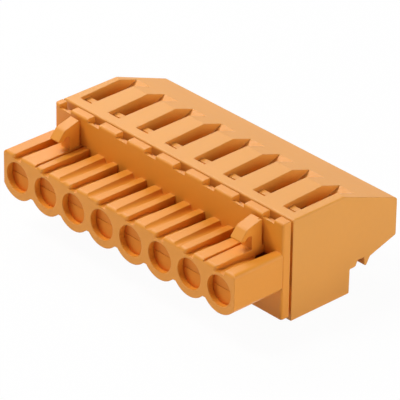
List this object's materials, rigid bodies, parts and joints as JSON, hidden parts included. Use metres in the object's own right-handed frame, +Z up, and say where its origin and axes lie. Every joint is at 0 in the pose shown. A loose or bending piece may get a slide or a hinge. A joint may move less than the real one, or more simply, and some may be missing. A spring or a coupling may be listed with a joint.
{
  "type": "pluggable terminal block",
  "caption": "Female plug-in terminal block with a row of round socket tubes, two latch hooks, wire entries at the back and a screwdriver slot over each pole.",
  "frame": {"origin": "centre of the footprint at the surface that the foot stands on", "axes": "+X along the row of poles, to the right when facing the mating side from the front; +Y from the mating face towards the wire face; +Z up"},
  "size_m": [0.0406, 0.0266, 0.0139],
  "materials": {
    "orange_front": "satin moulded, fine spark texture",
    "orange_rear": "satin moulded, fine spark texture",
    "contact_bronze": "stamped copper alloy",
    "spring_steel": "stainless strip"
  },
  "bodies": {
    "root": {"front_housing": "orange_front", "rear_housing": "orange_rear", "contact_1": "contact_bronze", "contact_2": "contact_bronze", "contact_3": "contact_bronze", "contact_4": "contact_bronze", "contact_5": "contact_bronze", "contact_6": "contact_bronze", "contact_7": "contact_bronze", "contact_8": "contact_bronze", "clamp_spring_1": "spring_steel", "clamp_spring_2": "spring_steel", "clamp_spring_3": "spring_steel", "clamp_spring_4": "spring_steel", "clamp_spring_5": "spring_steel", "clamp_spring_6": "spring_steel", "clamp_spring_7": "spring_steel", "clamp_spring_8": "spring_steel"}
  },
  "joints": []
}
